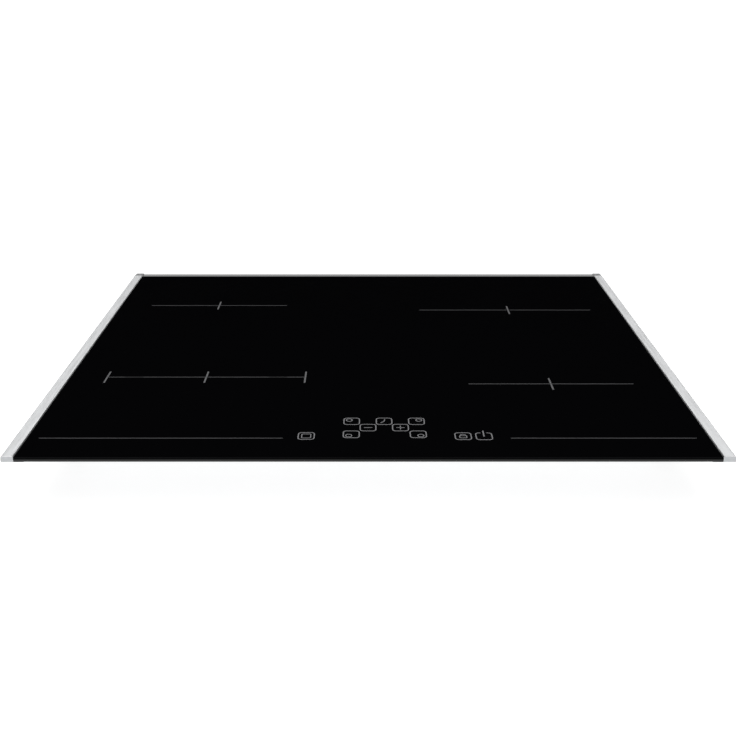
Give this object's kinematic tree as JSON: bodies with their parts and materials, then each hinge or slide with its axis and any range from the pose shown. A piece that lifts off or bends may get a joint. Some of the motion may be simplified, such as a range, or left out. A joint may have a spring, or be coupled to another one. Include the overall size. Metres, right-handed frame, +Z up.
{
  "type": "induction hob",
  "caption": "Built-in electric induction hob: black glass-ceramic plate with aluminium side trims, marked zones and touch keys, over a vented sheet-steel casing.",
  "frame": {"origin": "middle of the casing's bottom face", "axes": "+X to the right seen from the user, +Y to the rear, +Z up; front is -Y"},
  "size_m": [0.608, 0.522, 0.056],
  "materials": {
    "black_glass_ceramic": "polished",
    "zone_print": "fired enamel",
    "control_print": "fired enamel",
    "trim_aluminium": "satin anodised",
    "foam_gasket": "matt foam",
    "galvanised_steel": "galvanised",
    "zinc_screws": "zinc plated",
    "mica": "flaky sheet",
    "tray_aluminium": "mill",
    "circuit_board": "solder mask",
    "heatsink_aluminium": "extruded",
    "component_epoxy": "moulded",
    "black_moulding": "moulded",
    "fan_moulding": "moulded",
    "white_moulding": "moulded",
    "terminal_moulding": "moulded",
    "copper_litz": "enamelled litz wire",
    "ferrite": "sintered",
    "sensor_silicone": "silicone",
    "spring_steel": "drawn wire",
    "lead_jacket": "PVC"
  },
  "bodies": {
    "hob": {"glass_top": "black_glass_ceramic", "zone_markings": "zone_print", "control_markings": "control_print", "side_trim_left": "trim_aluminium", "side_trim_right": "trim_aluminium", "rim_gasket": "foam_gasket", "support_frame": "galvanised_steel", "bottom_casing": "galvanised_steel", "casing_screws": "zinc_screws", "insulation_sheets": "mica", "coil_tray_left": "tray_aluminium", "coil_tray_right": "tray_aluminium", "power_board_left": "circuit_board", "power_board_right": "circuit_board", "heatsink_left": "heatsink_aluminium", "heatsink_right": "heatsink_aluminium", "board_components_left": "component_epoxy", "board_components_right": "component_epoxy", "fan_housing_left": "black_moulding", "fan_housing_right": "black_moulding", "filter_board": "circuit_board", "terminal_housing": "black_moulding", "terminal_block": "terminal_moulding", "cable_clamp": "terminal_moulding", "touch_board_holder": "white_moulding", "touch_board": "circuit_board", "clamp_brackets": "galvanised_steel", "clamp_screws": "zinc_screws", "internal_wiring": "lead_jacket", "coil_springs_front_left": "spring_steel", "coil_springs_rear_left": "spring_steel", "coil_springs_front_right": "spring_steel", "coil_springs_rear_right": "spring_steel"},
    "coil_front_left": {"coil_winding_front_left": "copper_litz", "coil_carrier_front_left": "white_moulding", "coil_ferrites_front_left": "ferrite", "coil_sensor_front_left": "sensor_silicone"},
    "coil_rear_left": {"coil_winding_rear_left": "copper_litz", "coil_carrier_rear_left": "white_moulding", "coil_ferrites_rear_left": "ferrite", "coil_sensor_rear_left": "sensor_silicone"},
    "coil_front_right": {"coil_winding_front_right": "copper_litz", "coil_carrier_front_right": "white_moulding", "coil_ferrites_front_right": "ferrite", "coil_sensor_front_right": "sensor_silicone"},
    "coil_rear_right": {"coil_winding_rear_right": "copper_litz", "coil_carrier_rear_right": "white_moulding", "coil_ferrites_rear_right": "ferrite", "coil_sensor_rear_right": "sensor_silicone"},
    "fan_left": {"fan_rotor_left": "fan_moulding"},
    "fan_right": {"fan_rotor_right": "fan_moulding"},
    "clamp_lift_front_left": {"clamp_nut_front_left": "zinc_screws"},
    "clamp_swing_front_left": {"clamp_arm_front_left": "galvanised_steel"},
    "clamp_lift_rear_left": {"clamp_nut_rear_left": "zinc_screws"},
    "clamp_swing_rear_left": {"clamp_arm_rear_left": "galvanised_steel"},
    "clamp_lift_front_right": {"clamp_nut_front_right": "zinc_screws"},
    "clamp_swing_front_right": {"clamp_arm_front_right": "galvanised_steel"},
    "clamp_lift_rear_right": {"clamp_nut_rear_right": "zinc_screws"},
    "clamp_swing_rear_right": {"clamp_arm_rear_right": "galvanised_steel"},
    "terminal_lid": {"terminal_cover": "black_moulding"}
  },
  "joints": [
    {"name": "coil_press_front_left", "type": "slide", "parent": "hob", "child": "coil_front_left", "axis": [0, 0, 1], "range_m": [-0.003, 0], "stiffness_N_per_m": 2500, "springref_m": 0.006, "deforming": ["coil_springs_front_left"]},
    {"name": "coil_press_rear_left", "type": "slide", "parent": "hob", "child": "coil_rear_left", "axis": [0, 0, 1], "range_m": [-0.003, 0], "stiffness_N_per_m": 2500, "springref_m": 0.006, "deforming": ["coil_springs_rear_left"]},
    {"name": "coil_press_front_right", "type": "slide", "parent": "hob", "child": "coil_front_right", "axis": [0, 0, 1], "range_m": [-0.003, 0], "stiffness_N_per_m": 2500, "springref_m": 0.006, "deforming": ["coil_springs_front_right"]},
    {"name": "coil_press_rear_right", "type": "slide", "parent": "hob", "child": "coil_rear_right", "axis": [0, 0, 1], "range_m": [-0.003, 0], "stiffness_N_per_m": 2500, "springref_m": 0.006, "deforming": ["coil_springs_rear_right"]},
    {"name": "fan_spin_left", "type": "hinge", "parent": "hob", "child": "fan_left", "pos_m": [-0.206, 0.192, 0.0108], "axis": [0, 0, 1], "continuous": true},
    {"name": "fan_spin_right", "type": "hinge", "parent": "hob", "child": "fan_right", "pos_m": [0.206, 0.192, 0.0108], "axis": [0, 0, 1], "continuous": true},
    {"name": "clamp_climb_front_left", "type": "slide", "parent": "hob", "child": "clamp_lift_front_left", "axis": [0, 0, 1], "range_m": [0, 0.012]},
    {"name": "clamp_swivel_front_left", "type": "hinge", "parent": "clamp_lift_front_left", "child": "clamp_swing_front_left", "pos_m": [-0.272, -0.11, 0.0095], "axis": [0, 0, 1], "range_deg": [0, 90]},
    {"name": "clamp_climb_rear_left", "type": "slide", "parent": "hob", "child": "clamp_lift_rear_left", "axis": [0, 0, 1], "range_m": [0, 0.012]},
    {"name": "clamp_swivel_rear_left", "type": "hinge", "parent": "clamp_lift_rear_left", "child": "clamp_swing_rear_left", "pos_m": [-0.272, 0.15, 0.0095], "axis": [0, 0, 1], "range_deg": [0, 90]},
    {"name": "clamp_climb_front_right", "type": "slide", "parent": "hob", "child": "clamp_lift_front_right", "axis": [0, 0, 1], "range_m": [0, 0.012]},
    {"name": "clamp_swivel_front_right", "type": "hinge", "parent": "clamp_lift_front_right", "child": "clamp_swing_front_right", "pos_m": [0.272, -0.11, 0.0095], "axis": [0, 0, -1], "range_deg": [0, 90]},
    {"name": "clamp_climb_rear_right", "type": "slide", "parent": "hob", "child": "clamp_lift_rear_right", "axis": [0, 0, 1], "range_m": [0, 0.012]},
    {"name": "clamp_swivel_rear_right", "type": "hinge", "parent": "clamp_lift_rear_right", "child": "clamp_swing_rear_right", "pos_m": [0.272, 0.15, 0.0095], "axis": [0, 0, -1], "range_deg": [0, 90]},
    {"name": "terminal_lid_hinge", "type": "hinge", "parent": "hob", "child": "terminal_lid", "pos_m": [0, 0.2446, 0.004], "axis": [-1, 0, 0], "range_deg": [0, 90]}
  ]
}
